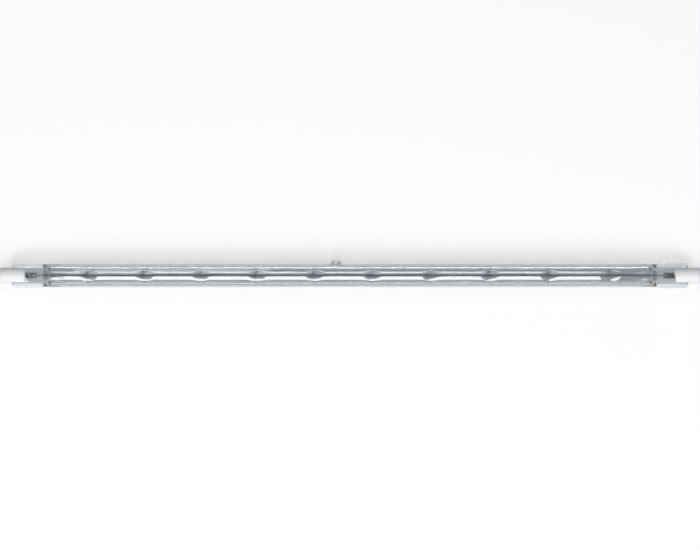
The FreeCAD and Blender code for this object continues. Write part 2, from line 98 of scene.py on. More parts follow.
# Sizes of the dimples, the exhaust tip and the bore left in it
DIMPLE_LENGTH = 6.9 * MM
DIMPLE_DEPTH = 0.5 * MM
DIMPLE_RADIUS = (DIMPLE_LENGTH**2 / 4 + DIMPLE_DEPTH**2) / (2 * DIMPLE_DEPTH)
DIMPLE_BLEND = 0.35 * MM
TIP_X = -6.6 * MM
TIP_RADIUS = 2.5 * MM
TIP_FLARE = 0.6 * MM
TIP_HEIGHT = 1.45 * MM
TIP_CROWN = TUBE_RADIUS + TIP_HEIGHT
TIP_BLEND = 0.12 * MM
PIP_OFFSET = 0.8 * MM
PIP_X = TIP_X - PIP_OFFSET
PIP_RADIUS = 1.15 * MM
EXHAUST_RADIUS = 0.5 * MM
EXHAUST_RISE = 0.7 * MM
EXHAUST_DROP = 0.5 * MM
EXHAUST_BLEND = 0.05 * MM
EXHAUST_REACH = 1.0 * MM

# Sizes of the wires
SUPPORT_COUNT = 10
SUPPORT_TURN = math.radians(137.5)
SUPPORT_WIRE = 0.4 * MM
SUPPORT_FIT = 0.03 * MM
SUPPORT_PITCH = 0.75 * MM
RING_PITCH = 1.6 * MM
TIGHT_TURNS = 1.5
FLARE_TURNS = 1.0
RING_TURNS = 1.05
COIL_WIRE = 0.3 * MM
COIL_PITCH = 0.49 * MM

SUPPORTS = [f"filament_support_{i + 1:02d}" for i in range(SUPPORT_COUNT)]


def support_middle(node):
    low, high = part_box(node)
    return (low.x + high.x) / 2


SUPPORT_X = [support_middle(node) for node in SUPPORTS]
DIMPLE_X = [place + (TIGHT_TURNS + FLARE_TURNS) * SUPPORT_PITCH / 2 for place in SUPPORT_X]


# Mesh helpers
def new_object(name, verts, faces, smooth=True):
    mesh = bpy.data.meshes.new(name)
    mesh.from_pydata([tuple(v) for v in verts], [], faces)
    mesh.polygons.foreach_set("use_smooth", [smooth] * len(mesh.polygons))
    mesh.update()
    obj = bpy.data.objects.new(name, mesh)
    bpy.context.scene.collection.objects.link(obj)
    return obj


def band(first, second, count, flip=False):
    """Quads between two closed rings that start at the given vertex numbers."""
    quads = []
    for i in range(count):
        j = (i + 1) % count
        quad = (first + i, first + j, second + j, second + i)
        quads.append(quad[::-1] if flip else quad)
    return quads


def apply_modifiers(obj):
    graph = bpy.context.evaluated_depsgraph_get()
    mesh = bpy.data.meshes.new_from_object(obj.evaluated_get(graph))
    obj.modifiers.clear()
    obj.data = mesh


def dress(obj, node, material):
    """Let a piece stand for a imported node."""
    obj.data.materials.clear()
    obj.data.materials.append(material)
    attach(obj, BODY)
    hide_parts(node)


def smooth_step(value, low, high):
    t = np.clip((np.asarray(value, float) - low) / (high - low), 0, 1)
    return t * t * (3 - 2 * t)


def soft_min(a, b, blend):
    h = np.clip(0.5 + 0.5 * (b - a) / blend, 0, 1)
    return b + (a - b) * h - blend * h * (1 - h)


def soft_max(a, b, blend):
    return -soft_min(-a, -b, blend)


def noise_at(x, y, z):
    """Smooth noise from -1 to 1 at arrays of places, given in cells of the noise."""
    x, y, z = np.broadcast_arrays(x, y, z)
    heights = [noise.noise(Vector(place)) for place in zip(x.flat, y.flat, z.flat)]
    return np.array(heights).reshape(x.shape)


def tube_along(name, path, radius, sides):
    """Round wire along a row of points, with closed ends."""
    path = np.asarray(path)
    count = len(path)
    ahead = np.gradient(path, axis=0)
    ahead /= np.linalg.norm(ahead, axis=1)[:, None]
    shortest_up = 0.1
    up = np.cross(ahead[0], (1.0, 0.0, 0.0))
    if np.linalg.norm(up) < shortest_up:
        up = np.array((0.0, 0.0, 1.0))
    angles = np.arange(sides) * 2 * math.pi / sides
    verts = []
    for spot, heading in zip(path, ahead):
        up = up - heading * up.dot(heading)
        up /= np.linalg.norm(up)
        side = np.cross(heading, up)
        verts.append(spot + radius * (np.cos(angles)[:, None] * up + np.sin(angles)[:, None] * side))
    faces = []
    for i in range(count - 1):
        faces += band(i * sides, (i + 1) * sides, sides)
    faces.append(tuple(range(sides))[::-1])
    last = (count - 1) * sides
    faces.append(tuple(range(last, last + sides)))
    return new_object(name, np.concatenate(verts), faces)


def round_corners(corners, steps):
    """Open row of points with an arc of the given radius at each inner corner."""
    row = [np.array(corners[0][:2])]
    for before, here, after in zip(corners, corners[1:], corners[2:]):
        spot = np.array(here[:2])
        back = np.array(before[:2]) - spot
        on = np.array(after[:2]) - spot
        back /= np.linalg.norm(back)
        on /= np.linalg.norm(on)
        half = math.acos(np.clip(back.dot(on), -1, 1)) / 2
        radius = here[2]
        reach = radius / math.tan(half)
        centre = spot + (back + on) / np.linalg.norm(back + on) * radius / math.sin(half)
        start = spot + back * reach - centre
        stop = spot + on * reach - centre
        sweep = math.pi - 2 * half
        for k in range(steps + 1):
            a = math.sin((1 - k / steps) * sweep) / math.sin(sweep)
            b = math.sin(k / steps * sweep) / math.sin(sweep)
            row.append(centre + start * a + stop * b)
    row.append(np.array(corners[-1][:2]))
    return np.array(row)


def fill_gaps(row, spacing):
    """Divide the long runs of a row of points."""
    slack = 1e-6
    filled = [row[0]]
    for one, other in zip(row, row[1:]):
        parts = max(1, math.ceil(np.linalg.norm(other - one) / spacing - slack))
        filled += [one + (other - one) * k / parts for k in range(1, parts + 1)]
    return np.array(filled)


def lathe(name, side, profile, segments):
    """Turned piece from a closed row of (depth below the lamp's end, radius) points."""
    sign = ENDS[side]
    angles = np.arange(segments) * 2 * math.pi / segments
    verts = []
    for depth, radius in profile:
        x = np.full(segments, sign * (END - depth))
        verts.append(np.column_stack([x, radius * np.cos(angles), radius * np.sin(angles)]))
    faces = []
    for i in range(len(profile)):
        following = (i + 1) % len(profile)
        faces += band(i * segments, following * segments, segments, flip=sign > 0)
    return new_object(name, np.concatenate(verts), faces)


def block(name, low, high):
    """Box between two corners, used to cut other pieces."""
    verts = [(x, y, z) for x in (low[0], high[0]) for y in (low[1], high[1]) for z in (low[2], high[2])]
    faces = [(0, 1, 3, 2), (4, 6, 7, 5), (0, 4, 5, 1), (2, 3, 7, 6), (0, 2, 6, 4), (1, 5, 7, 3)]
    return new_object(name, verts, faces, smooth=False)


def cut_away(obj, tool):
    """Take a tool's space out of a piece and round the edges that are left."""
    edge_round = 0.1 * MM
    edge_steps = 3
    rounded_from = math.radians(50)
    sharp_from = math.radians(55)
    cut = obj.modifiers.new("cut", "BOOLEAN")
    cut.operation = "DIFFERENCE"
    cut.solver = "EXACT"
    cut.object = tool
    soften = obj.modifiers.new("soften", "BEVEL")
    soften.width = edge_round
    soften.segments = edge_steps
    soften.limit_method = "ANGLE"
    soften.angle_limit = rounded_from
    apply_modifiers(obj)
    bpy.data.objects.remove(tool)
    obj.data.polygons.foreach_set("use_smooth", [True] * len(obj.data.polygons))
    obj.data.set_sharp_from_angle(angle=sharp_from)


def sheet_mesh(places, lower, upper):
    """Closed thin piece between two height fields over a grid of (x, y) places."""
    rows, columns = places.shape[:2]
    count = rows * columns
    top = np.dstack([places, upper]).reshape(-1, 3)
    bottom = np.dstack([places, lower]).reshape(-1, 3)
    faces = []
    for i in range(rows - 1):
        for j in range(columns - 1):
            a = i * columns + j
            quad = (a, a + columns, a + columns + 1, a + 1)
            faces.append(quad)
            faces.append(tuple(v + count for v in quad[::-1]))
    rim = list(range(columns))
    rim += [i * columns + columns - 1 for i in range(1, rows)]
    rim += [(rows - 1) * columns + j for j in range(columns - 2, -1, -1)]
    rim += [i * columns for i in range(rows - 2, 0, -1)]
    for one, other in zip(rim, rim[1:] + rim[:1]):
        faces.append((one, other, other + count, one + count))
    return np.concatenate([top, bottom]), faces


# Material helpers
def new_material(name):
    material = bpy.data.materials.new(name)
    material.use_nodes = True
    tree = material.node_tree
    return material, tree, tree.nodes["Principled BSDF"]


def add_node(tree, kind, inputs=None, **settings):
    node = tree.nodes.new(kind)
    for key, setting in settings.items():
        setattr(node, key, setting)
    for key, amount in (inputs or {}).items():
        node.inputs[key].default_value = amount
    return node


def stretched_place(tree, scale):
    """Object coordinates, stretched by a scale along each axis."""
    place = add_node(tree, "ShaderNodeTexCoord")
    mapping = add_node(tree, "ShaderNodeMapping", {"Scale": scale})
    tree.links.new(place.outputs["Object"], mapping.inputs["Vector"])
    return mapping.outputs["Vector"]


def noise_value(tree, scale, stretch=(1, 1, 1), detail=3.0, roughness=0.5):
    texture = add_node(
        tree, "ShaderNodeTexNoise", {"Scale": scale, "Detail": detail, "Roughness": roughness}
    )
    tree.links.new(stretched_place(tree, stretch), texture.inputs["Vector"])
    return texture.outputs["Fac"]


def colour_range(tree, value, limits, shades, socket):
    """Go from one shade to the other as a value goes from the lower limit to the upper."""
    ramp = add_node(tree, "ShaderNodeValToRGB")
    for element, limit, shade in zip(ramp.color_ramp.elements, limits, shades):
        element.position = limit
        element.color = (*shade, 1)
    tree.links.new(value, ramp.inputs["Fac"])
    tree.links.new(ramp.outputs["Color"], socket)


def number_range(tree, value, limits, ends, socket):
    """Go from one end to the other as a value goes from the lower limit to the upper."""
    spread = add_node(
        tree,
        "ShaderNodeMapRange",
        {"From Min": limits[0], "From Max": limits[1], "To Min": ends[0], "To Max": ends[1]},
    )
    tree.links.new(value, spread.inputs["Value"])
    tree.links.new(spread.outputs["Result"], socket)


def blend_colour(tree, share, colour, below, kind="MIX"):
    """Lay a colour over the one below it, by a share from 0 to 1."""
    mix = add_node(tree, "ShaderNodeMix", data_type="RGBA", blend_type=kind)
    inputs = [socket for socket in mix.inputs if socket.type == "RGBA"]
    outputs = [socket for socket in mix.outputs if socket.type == "RGBA"]
    if isinstance(below, tuple):
        inputs[0].default_value = (*below, 1)
    else:
        tree.links.new(below, inputs[0])
    inputs[1].default_value = (*colour, 1)
    tree.links.new(share, mix.inputs[0])
    return outputs[0]


def combine(tree, operation, first, second):
    """One value from two: their product, the larger one or the like."""
    node = add_node(tree, "ShaderNodeMath", operation=operation)
    tree.links.new(first, node.inputs[0])
    if isinstance(second, float):
        node.inputs[1].default_value = second
    else:
        tree.links.new(second, node.inputs[1])
    return node.outputs["Value"]


def relief(tree, shader, value, strength, distance):
    bump = add_node(tree, "ShaderNodeBump", {"Strength": strength, "Distance": distance})
    tree.links.new(value, bump.inputs["Height"])
    tree.links.new(bump.outputs["Normal"], shader.inputs["Normal"])
    return bump


def axis_share(tree, axis, start, stop):
    """0 to 1 as the distance from the middle along one axis goes from start to stop."""
    place = add_node(tree, "ShaderNodeTexCoord")
    parts = add_node(tree, "ShaderNodeSeparateXYZ")
    away = add_node(tree, "ShaderNodeMath", operation="ABSOLUTE")
    share = add_node(tree, "ShaderNodeMapRange", {"From Min": start, "From Max": stop})
    tree.links.new(place.outputs["Object"], parts.inputs["Vector"])
    tree.links.new(parts.outputs[axis], away.inputs[0])
    tree.links.new(away.outputs["Value"], share.inputs["Value"])
    return share.outputs["Result"]


def rim_shade_share(tree, start, stop):
    """0 to 1 as glass turns from face on to edge on: where painted shade darkens the rims, more than the
    longer path through the wall would.
    """
    facing = add_node(tree, "ShaderNodeLayerWeight", {"Blend": 0.5})
    share = add_node(tree, "ShaderNodeMapRange", {"From Min": start, "From Max": stop})
    tree.links.new(facing.outputs["Facing"], share.inputs["Value"])
    return share.outputs["Result"]


# Fused quartz
QUARTZ_IOR = 1.458
# Grey of the tube: painted shade for the darker backdrop and shadow seen through clear quartz.
TUBE_PAINTED_SHADE = (0.60, 0.63, 0.655)
# Clearer tint of the pinches and the tip: painted light that makes them brighter than the tube.
PINCH_PAINTED_LIGHT = (0.80, 0.82, 0.84)
# Darker tint of the webs: painted shade.
WEB_PAINTED_SHADE = (0.49, 0.52, 0.545)
# Darkening of the glass seen edge-on: painted shade on the rims, with the limits of its mask.
RIM_PAINTED_SHADE = (0.36, 0.38, 0.40)
RIM_SHADE_START = 0.42
RIM_SHADE_FULL = 0.75
PINCH_FADE = 1.0 * MM
TIP_FADE = 0.3 * MM
WEB_HAZE = 0.14
SLOPE_HAZE = 0.23
MARK_SCALE = 800
MARK_STRETCH = (0.3, 1, 1)
MARK_DEPTH = 0.1 * MM
MARK_STRENGTHS = (0.002, 0.34)


def quartz_material():
    """Quartz tinted grey as painted shade, clearer as painted light on the pinches and tip, hazy on the
    press slopes, and on the webs of the pinches a darker painted shade with press marks; more painted
    shade where it is seen edge-on.
    """
    material, tree, shader = new_material("fused_quartz")
    shader.inputs["Transmission Weight"].default_value = 1.0
    shader.inputs["IOR"].default_value = QUARTZ_IOR
    shader.inputs["Coat Weight"].default_value = 1.0
    shader.inputs["Coat Roughness"].default_value = 0.0
    in_pinch = axis_share(tree, "X", END - PINCH_END - PINCH_FADE, END - PINCH_END)
    past_tube = axis_share(tree, "X", END - SHOULDER - PINCH_FADE, END - SHOULDER)
    between_ridges = axis_share(tree, "Y", RIDGE_TOP_START, WEB_HALF_WIDTH)
    on_tip = axis_share(tree, "Y", TUBE_RADIUS, TUBE_RADIUS + TIP_FADE)
    on_web = combine(tree, "MULTIPLY", in_pinch, between_ridges)
    on_slope = combine(tree, "SUBTRACT", past_tube, in_pinch)
    off_tube = combine(tree, "MAXIMUM", on_tip, past_tube)
    # Painted shade on the rims where the glass is edge-on, kept off the tip, the press slopes and the
    # pinches.
    edge = combine(tree, "SUBTRACT", rim_shade_share(tree, RIM_SHADE_START, RIM_SHADE_FULL), off_tube)
    # Grey painted shade on the tube, lighter as painted light on the pinches and tip, darker painted shade
    # on the webs.
    tint = blend_colour(tree, combine(tree, "MAXIMUM", in_pinch, on_tip), PINCH_PAINTED_LIGHT, TUBE_PAINTED_SHADE)
    tint = blend_colour(tree, on_web, WEB_PAINTED_SHADE, tint)
    tint = blend_colour(tree, edge, RIM_PAINTED_SHADE, tint, "MULTIPLY")
    tree.links.new(tint, shader.inputs["Base Color"])
    web_haze = combine(tree, "MULTIPLY", on_web, WEB_HAZE)
    slope_haze = combine(tree, "MULTIPLY", on_slope, SLOPE_HAZE)
    tree.links.new(combine(tree, "MAXIMUM", web_haze, slope_haze), shader.inputs["Roughness"])
    marks = relief(tree, shader, noise_value(tree, MARK_SCALE, MARK_STRETCH), 0.0, MARK_DEPTH)
    number_range(tree, on_web, (0, 1), MARK_STRENGTHS, marks.inputs["Strength"])
    return material


# Metals and minerals
METAL_LIMITS = (0.3, 0.7)
METAL_DEPTH = 0.02 * MM
MOTTLE_SCALE = 600
MOTTLE_LIMITS = (0.32, 0.6)
GRAIN_DEPTH = 0.03 * MM
MINERAL_GLOSS = 0.35


def metal_material(name, shades, roughness, grain, bump, stretch=(1, 1, 1)):
    """Metal that varies in colour, gloss and height with one fine grain."""
    material, tree, shader = new_material(name)
    shader.inputs["Metallic"].default_value = 1.0
    value = noise_value(tree, grain, stretch, detail=4.0, roughness=0.6)
    colour_range(tree, value, METAL_LIMITS, shades, shader.inputs["Base Color"])
    number_range(tree, value, METAL_LIMITS, roughness, shader.inputs["Roughness"])
    relief(tree, shader, value, bump, METAL_DEPTH)
    return material


def grainy_material(name, shades, roughness, grain, bump):
    """Fired or set mineral: broad mottling over a fine grain."""
    material, tree, shader = new_material(name)
    mottle = noise_value(tree, MOTTLE_SCALE, detail=5.0, roughness=0.65)
    colour_range(tree, mottle, MOTTLE_LIMITS, shades, shader.inputs["Base Color"])
    shader.inputs["Roughness"].default_value = roughness
    shader.inputs["Specular IOR Level"].default_value = MINERAL_GLOSS
    relief(tree, shader, noise_value(tree, grain, detail=4.0, roughness=0.6), bump, GRAIN_DEPTH)
    return material


QUARTZ = quartz_material()
TUNGSTEN = metal_material(
    "coiled_tungsten",
    shades=((0.42, 0.42, 0.42), (0.66, 0.66, 0.66)),
    roughness=(0.30, 0.50),
    grain=3000,
    bump=0.15,
    stretch=(0.2, 1, 1),
)
SUPPORT_METAL = metal_material(
    "support_wire",
    shades=((0.30, 0.30, 0.31), (0.56, 0.56, 0.57)),
    roughness=(0.22, 0.40),
    grain=2500,
    bump=0.12,
)
FOIL_METAL = metal_material(
    "molybdenum_foil",
    shades=((0.10, 0.105, 0.11), (0.30, 0.31, 0.32)),
    roughness=(0.30, 0.55),
    grain=1600,
    bump=0.45,
    stretch=(1, 0.4, 1),
)
LEAD_METAL = metal_material(
    "lead_wire",
    shades=((0.24, 0.24, 0.25), (0.46, 0.46, 0.47)),
    roughness=(0.28, 0.45),
    grain=2600,
    bump=0.15,
    stretch=(0.15, 1, 1),
)
CONTACT_METAL = metal_material(
    "nickel_contact",
    shades=((0.46, 0.45, 0.42), (0.68, 0.66, 0.62)),
    roughness=(0.22, 0.42),
    grain=1500,
    bump=0.20,
)
CERAMIC = grainy_material(
    "white_ceramic",
    shades=((0.88, 0.90, 0.92), (0.945, 0.96, 0.97)),
    roughness=0.55,
    grain=5200,
    bump=0.16,
)
CEMENT = grainy_material(
    "set_cement",
    shades=((0.80, 0.81, 0.80), (0.92, 0.93, 0.93)),
    roughness=0.85,
    grain=3600,
    bump=0.55,
)


# Section of the pinch: one quarter, from the edge of a ridge to the middle of the web
def pinch_quarter():
    corner_steps = 5
    spacing = 0.32 * MM
    corners = [
        (PINCH_HALF_WIDTH, 0.0),
        (PINCH_HALF_WIDTH, RIDGE_LEVEL, RIDGE_ROUND),
        (RIDGE_TOP_START, RIDGE_LEVEL, RIDGE_EDGE_ROUND),
        (WEB_HALF_WIDTH, WEB_LEVEL, WEB_ROUND),
        (0.0, WEB_LEVEL),
    ]
    return fill_gaps(round_corners(corners, corner_steps), spacing)


def ring_of(quarter, signs):
    """Mirror a quarter row of values round the whole section."""
    right, top = signs
    back = quarter[-2::-1]
    return np.concatenate(
        [quarter, right * back, right * top * quarter[1:], top * quarter[-2:0:-1]]
    )


def outward_normals(y, z):
    ahead_y = np.roll(y, -1) - np.roll(y, 1)
    ahead_z = np.roll(z, -1) - np.roll(z, 1)
    length = np.hypot(ahead_y, ahead_z)
    return ahead_z / length, -ahead_y / length


QUARTER = pinch_quarter()
STEPS = np.concatenate([[0], np.cumsum(np.linalg.norm(np.diff(QUARTER, axis=0), axis=1))])
ANGLE = STEPS / STEPS[-1] * math.pi / 2
FLAT_Y = ring_of(QUARTER[:, 0], (-1, 1))
FLAT_Z = ring_of(QUARTER[:, 1], (1, -1))
FLAT_NY, FLAT_NZ = outward_normals(FLAT_Y, FLAT_Z)
ROUND_Y = ring_of(np.cos(ANGLE), (-1, 1))
ROUND_Z = ring_of(np.sin(ANGLE), (1, -1))
TIP_SIDE = ROUND_Y > 0.5
AROUND = len(FLAT_Y)

# Slope of the press: a straight run between two rounds
PRESS_DROP = TUBE_RADIUS - WEB_LEVEL
PRESS_FALL = PRESS_DROP - 2 * PRESS_ROUND
PRESS_SLOPE = math.atan2(PRESS_FALL, PRESS_LENGTH) + math.asin(
    2 * PRESS_ROUND / math.hypot(PRESS_LENGTH, PRESS_FALL)
)


def press_height(depth, high):
    """Half height left between the press jaws: a slope with rounded ends."""
    run = min(max(SHOULDER - depth, 0), PRESS_LENGTH)
    rest = PRESS_LENGTH - run
    bend = PRESS_ROUND * math.sin(PRESS_SLOPE)
    if run < bend:
        return high - PRESS_ROUND + math.sqrt(PRESS_ROUND**2 - run**2)
    if rest < bend:
        return high - PRESS_DROP + PRESS_ROUND - math.sqrt(PRESS_ROUND**2 - rest**2)
    crown = high - PRESS_ROUND * (1 - math.cos(PRESS_SLOPE))
    return crown - (run - bend) * math.tan(PRESS_SLOPE)


def dimpled(x, z, radius):
    """Heights of a section with its top rolled in at the supports, the rim of the dimple left soft."""
    nearest = min(abs(x - place) for place in DIMPLE_X)
    wheel = DIMPLE_RADIUS + TUBE_RADIUS - radius
    wheel_reach = 0.6 * wheel
    if nearest > wheel_reach:
        return z
    level = radius - DIMPLE_DEPTH + wheel - math.sqrt(wheel**2 - nearest**2)
    return soft_min(z, level, DIMPLE_BLEND)


def tip_height(x, z):
    """Outline of the melted-off tip over the side of the tube, with its pip beside the middle."""
    flat_radius = 0.55 * TIP_RADIUS
    edge_drop = 0.55 * MM
    wall_start = TIP_RADIUS - 0.10 * MM
    wall_end = TIP_RADIUS + 0.25 * MM
    foot_height = 0.25 * MM
    foot_fall = 0.9 * MM
    pip_sink = 0.3 * MM
    pip_blend = 0.15 * MM
    away = np.hypot(x - TIP_X, z)
    crown = TIP_CROWN - edge_drop * smooth_step(away, flat_radius, TIP_RADIUS) ** 2
    wall = smooth_step(away, wall_start, wall_end)
    foot = TUBE_RADIUS + foot_height - foot_fall * (away - TIP_RADIUS) / TIP_FLARE
    button = crown * (1 - wall) + foot * wall
    beside = np.hypot(x - PIP_X, z) / PIP_RADIUS
    pip = TIP_TOP - (TIP_TOP - TIP_CROWN + pip_sink) * beside**2
    return soft_max(button, pip, pip_blend)


def quarter_round(radius, inside):
    """How far a rounded edge draws in at a distance inside the end."""
    return radius - math.sqrt(radius**2 - max(radius - inside, 0) ** 2)


def pressed_section(depth):
    """Outside of the glass from the end of a pinch to the top of its press slope."""
    height = press_height(depth, TUBE_RADIUS)
    y = TUBE_RADIUS * ROUND_Y
    z = TUBE_RADIUS * ROUND_Z
    z = np.sign(z) * soft_min(np.abs(z), height, PRESS_BLEND)
    ridge = 1 - smooth_step(depth, RIDGE_END - PLAN_ROUND, RIDGE_END)
    draw_in = quarter_round(PLAN_ROUND, depth - SETBACK)
    inset = quarter_round(RIM_ROUND, depth - SETBACK)
    share = np.clip((np.abs(FLAT_Y) - WEB_HALF_WIDTH) / (PINCH_HALF_WIDTH - WEB_HALF_WIDTH), 0, 1)
    flat_y = FLAT_Y - np.sign(FLAT_Y) * share * draw_in - FLAT_NY * inset
    flat_z = FLAT_Z - FLAT_NZ * inset
    return y + (flat_y - y) * ridge, z + (flat_z - z) * ridge


def outer_section(x):
    depth = END - abs(x)
    if depth < SHOULDER:
        return pressed_section(depth)
    y = TUBE_RADIUS * ROUND_Y
    z = dimpled(x, TUBE_RADIUS * ROUND_Z, TUBE_RADIUS)
    if abs(x - TIP_X) < TIP_RADIUS + 2 * TIP_FLARE:
        raised = soft_max(y, tip_height(x, z), TIP_BLEND)
        y = np.where(TIP_SIDE, raised, y)
    return y, z


def inner_section(x):
    depth = END - abs(x)
    if depth < SHOULDER:
        share = (depth - CAVITY_END) / (SHOULDER - CAVITY_END)
        radius = CAVITY_END_HALF_WIDTH + (BORE_RADIUS - CAVITY_END_HALF_WIDTH) * share
        z = radius * ROUND_Z
        height = press_height(depth, BORE_RADIUS)
        return radius * ROUND_Y, np.sign(z) * soft_min(np.abs(z), height, CAVITY_BLEND)
    y = BORE_RADIUS * ROUND_Y
    z = dimpled(x, BORE_RADIUS * ROUND_Z, BORE_RADIUS)
    if abs(x - TIP_X) < EXHAUST_REACH:
        away = np.hypot(x - TIP_X, z) / EXHAUST_RADIUS
        raised = soft_max(y, TUBE_RADIUS + EXHAUST_RISE - EXHAUST_DROP * away**4, EXHAUST_BLEND)
        y = np.where(TIP_SIDE, raised, y)
    return y, z


# Places of the sections along the lamp
PRESS_STEPS = 25
TUBE_STEPS = 41
DIMPLE_SPAN = 5.4 * MM
TIP_SPAN = 3.6 * MM
TIP_SPACING = 0.2 * MM
OUTER_SPACING = 0.5 * MM
INNER_SPACING = 0.9 * MM
CLOSEST = 0.015 * MM
SPAN_SLACK = 0.01 * MM


def press_stations(start, stop):
    """Depths over the press slope."""
    depths = np.linspace(PINCH_END, SHOULDER, PRESS_STEPS)
    return depths[(depths > start) & (depths < stop)]


def around_place(place, span, spacing):
    """Even places up to a span either side of one place."""
    return place + np.arange(-span, span + SPAN_SLACK, spacing)


def middle_stations(spacing):
    """Places along the round tube: close together at the dimples and the tip, sparse between."""
    rows = [around_place(place, DIMPLE_SPAN, spacing) for place in DIMPLE_X]
    rows.append(around_place(TIP_X, TIP_SPAN, TIP_SPACING))
    rows.append(np.linspace(SHOULDER - END, END - SHOULDER, TUBE_STEPS))
    return np.concatenate(rows)


def both_ends(depths):
    return np.concatenate([depths - END, END - depths])


def tidy_stations(parts):
    """Sorted places to the nearest micrometre, without those too close to the one before."""
    stations = np.unique(np.round(np.concatenate(parts), 6))
    keep = np.concatenate([[True], np.diff(stations) > CLOSEST])
    return stations[keep]


def outer_stations():
    round_steps = 6
    past_rim = 0.7
    run_spacing = 2.4 * MM
    ridge_end_steps = 10
    rim = SETBACK + RIM_ROUND * (1 - np.cos(np.linspace(0, math.pi / 2, round_steps)))
    plan = SETBACK + PLAN_ROUND * (1 - np.cos(np.linspace(past_rim, math.pi / 2, round_steps)))
    run = np.arange(PLAN_ROUND + SETBACK, PINCH_END, run_spacing)
    press = press_stations(SETBACK, SHOULDER)
    ridge_end = np.linspace(RIDGE_END - PLAN_ROUND, RIDGE_END, ridge_end_steps)
    ends = [both_ends(depths) for depths in (rim, plan, run, press, ridge_end)]
    return tidy_stations(ends + [middle_stations(OUTER_SPACING)])


def inner_stations():
    end_gap = 0.02 * MM
    press = press_stations(CAVITY_END + end_gap, SHOULDER)
    ends = both_ends(np.concatenate([[CAVITY_END], press]))
    return tidy_stations([ends, middle_stations(INNER_SPACING)])


# Quartz envelope: an outer and an inner skin, each closed at both ends
def end_strip(first, flip):
    """Close a section with strips between its upper and lower halves."""
    quads = []
    for i in range(AROUND // 2):
        j = i + 1
        quad = [first + i, first + j, first + (AROUND - j) % AROUND, first + (AROUND - i) % AROUND]
        corners = [v for k, v in enumerate(quad) if v not in quad[:k]]
        quads.append(tuple(corners[::-1] if flip else corners))
    return quads


def shell(stations, section, start, inward):
    verts = []
    for x in stations:
        y, z = section(x)
        verts.append(np.column_stack([np.full(AROUND, x), y, z]))
    faces = []
    for i in range(len(stations) - 1):
        faces += band(start + i * AROUND, start + (i + 1) * AROUND, AROUND, flip=inward)
    faces += end_strip(start, flip=not inward)
    faces += end_strip(start + (len(stations) - 1) * AROUND, flip=inward)
    return np.concatenate(verts), faces


def quartz_envelope():
    outside, outer_faces = shell(outer_stations(), outer_section, 0, inward=False)
    inside, inner_faces = shell(inner_stations(), inner_section, len(outside), inward=True)
    obj = new_object("quartz_envelope_glass", np.concatenate([outside, inside]), outer_faces + inner_faces)
    dress(obj, "quartz_envelope", QUARTZ)


# Filament: a close coil that wanders a little in each span between the supports that hold it
WANDER_MM = (0.10, -0.22, 0.16, 0.26, -0.12, 0.22, -0.26, -0.10, 0.20, -0.28, 0.12)
SAG_SHARE = 0.6


def wander(x):
    """How far off the axis the coil hangs at places along the lamp."""
    posts = np.array([-COIL_END] + SUPPORT_X + [COIL_END])
    span = np.clip(np.searchsorted(posts, x) - 1, 0, len(WANDER_MM) - 1)
    share = (x - posts[span]) / (posts[span + 1] - posts[span])
    size = np.array(WANDER_MM)[span] * MM * np.sin(np.clip(share, 0, 1) * math.pi) ** 2
    return size, -SAG_SHARE * np.abs(size)


def filament():
    turn_steps = 12
    wire_sides = 6
    half = COIL_END - COIL_WIRE / 2
    turns = 2 * half / COIL_PITCH
    t = np.linspace(0, 1, round(turns * turn_steps) + 1)
    x = -half + 2 * half * t
    angle = 2 * math.pi * turns * t
    radius = COIL_RADIUS - COIL_WIRE / 2
    off_y, off_z = wander(x)
    path = np.column_stack([x, radius * np.cos(angle) + off_y, radius * np.sin(angle) + off_z])
    coil = tube_along("filament_coil", path, COIL_WIRE / 2, wire_sides)
    dress(coil, "filament", TUNGSTEN)


# Supports: turns round the coil that open out into a ring just inside the tube
def support(index):
    path_steps = 110
    wire_sides = 8
    opened = TIGHT_TURNS + FLARE_TURNS
    tight = COIL_RADIUS + SUPPORT_FIT + SUPPORT_WIRE / 2
    ring = BORE_RADIUS - DIMPLE_DEPTH - SUPPORT_FIT - SUPPORT_WIRE / 2
    turns = np.linspace(0, opened + RING_TURNS, path_steps)
    radius = tight + (ring - tight) * smooth_step(turns, TIGHT_TURNS, opened)
    lift = np.minimum(turns, opened) * SUPPORT_PITCH + np.maximum(turns - opened, 0) * RING_PITCH
    angle = 2 * math.pi * turns + SUPPORT_TURN * index
    x = lift - (lift[0] + lift[-1]) / 2 + SUPPORT_X[index]
    path = np.column_stack([x, radius * np.cos(angle), radius * np.sin(angle)])
    node = SUPPORTS[index]
    wire = tube_along(f"{node}_wire", path, SUPPORT_WIRE / 2, wire_sides)
    dress(wire, node, SUPPORT_METAL)


# Ceramic caps: a turned head with a recess, and two jaws either side of the pinch
SEAT_GAP = 0.3 * MM
HEAD_LENGTH = SETBACK - SEAT_GAP
JAW_RELIEF = 0.25 * MM
JAW_RADIUS = CAP_RADIUS - JAW_RELIEF
CEMENT_GAP = 0.2 * MM
SLOT_LEVEL = WEB_LEVEL + CEMENT_GAP
RECESS_RADIUS = 1.9 * MM
RECESS_DEPTH = 1.7 * MM
SEAT_RADIUS = 1.63 * MM
CONTACT_THICKNESS = 0.6 * MM
SEAT_DEPTH = RECESS_DEPTH + CONTACT_THICKNESS
SHANK_RADIUS = 0.85 * MM
CONTACT_FIT = 0.03 * MM


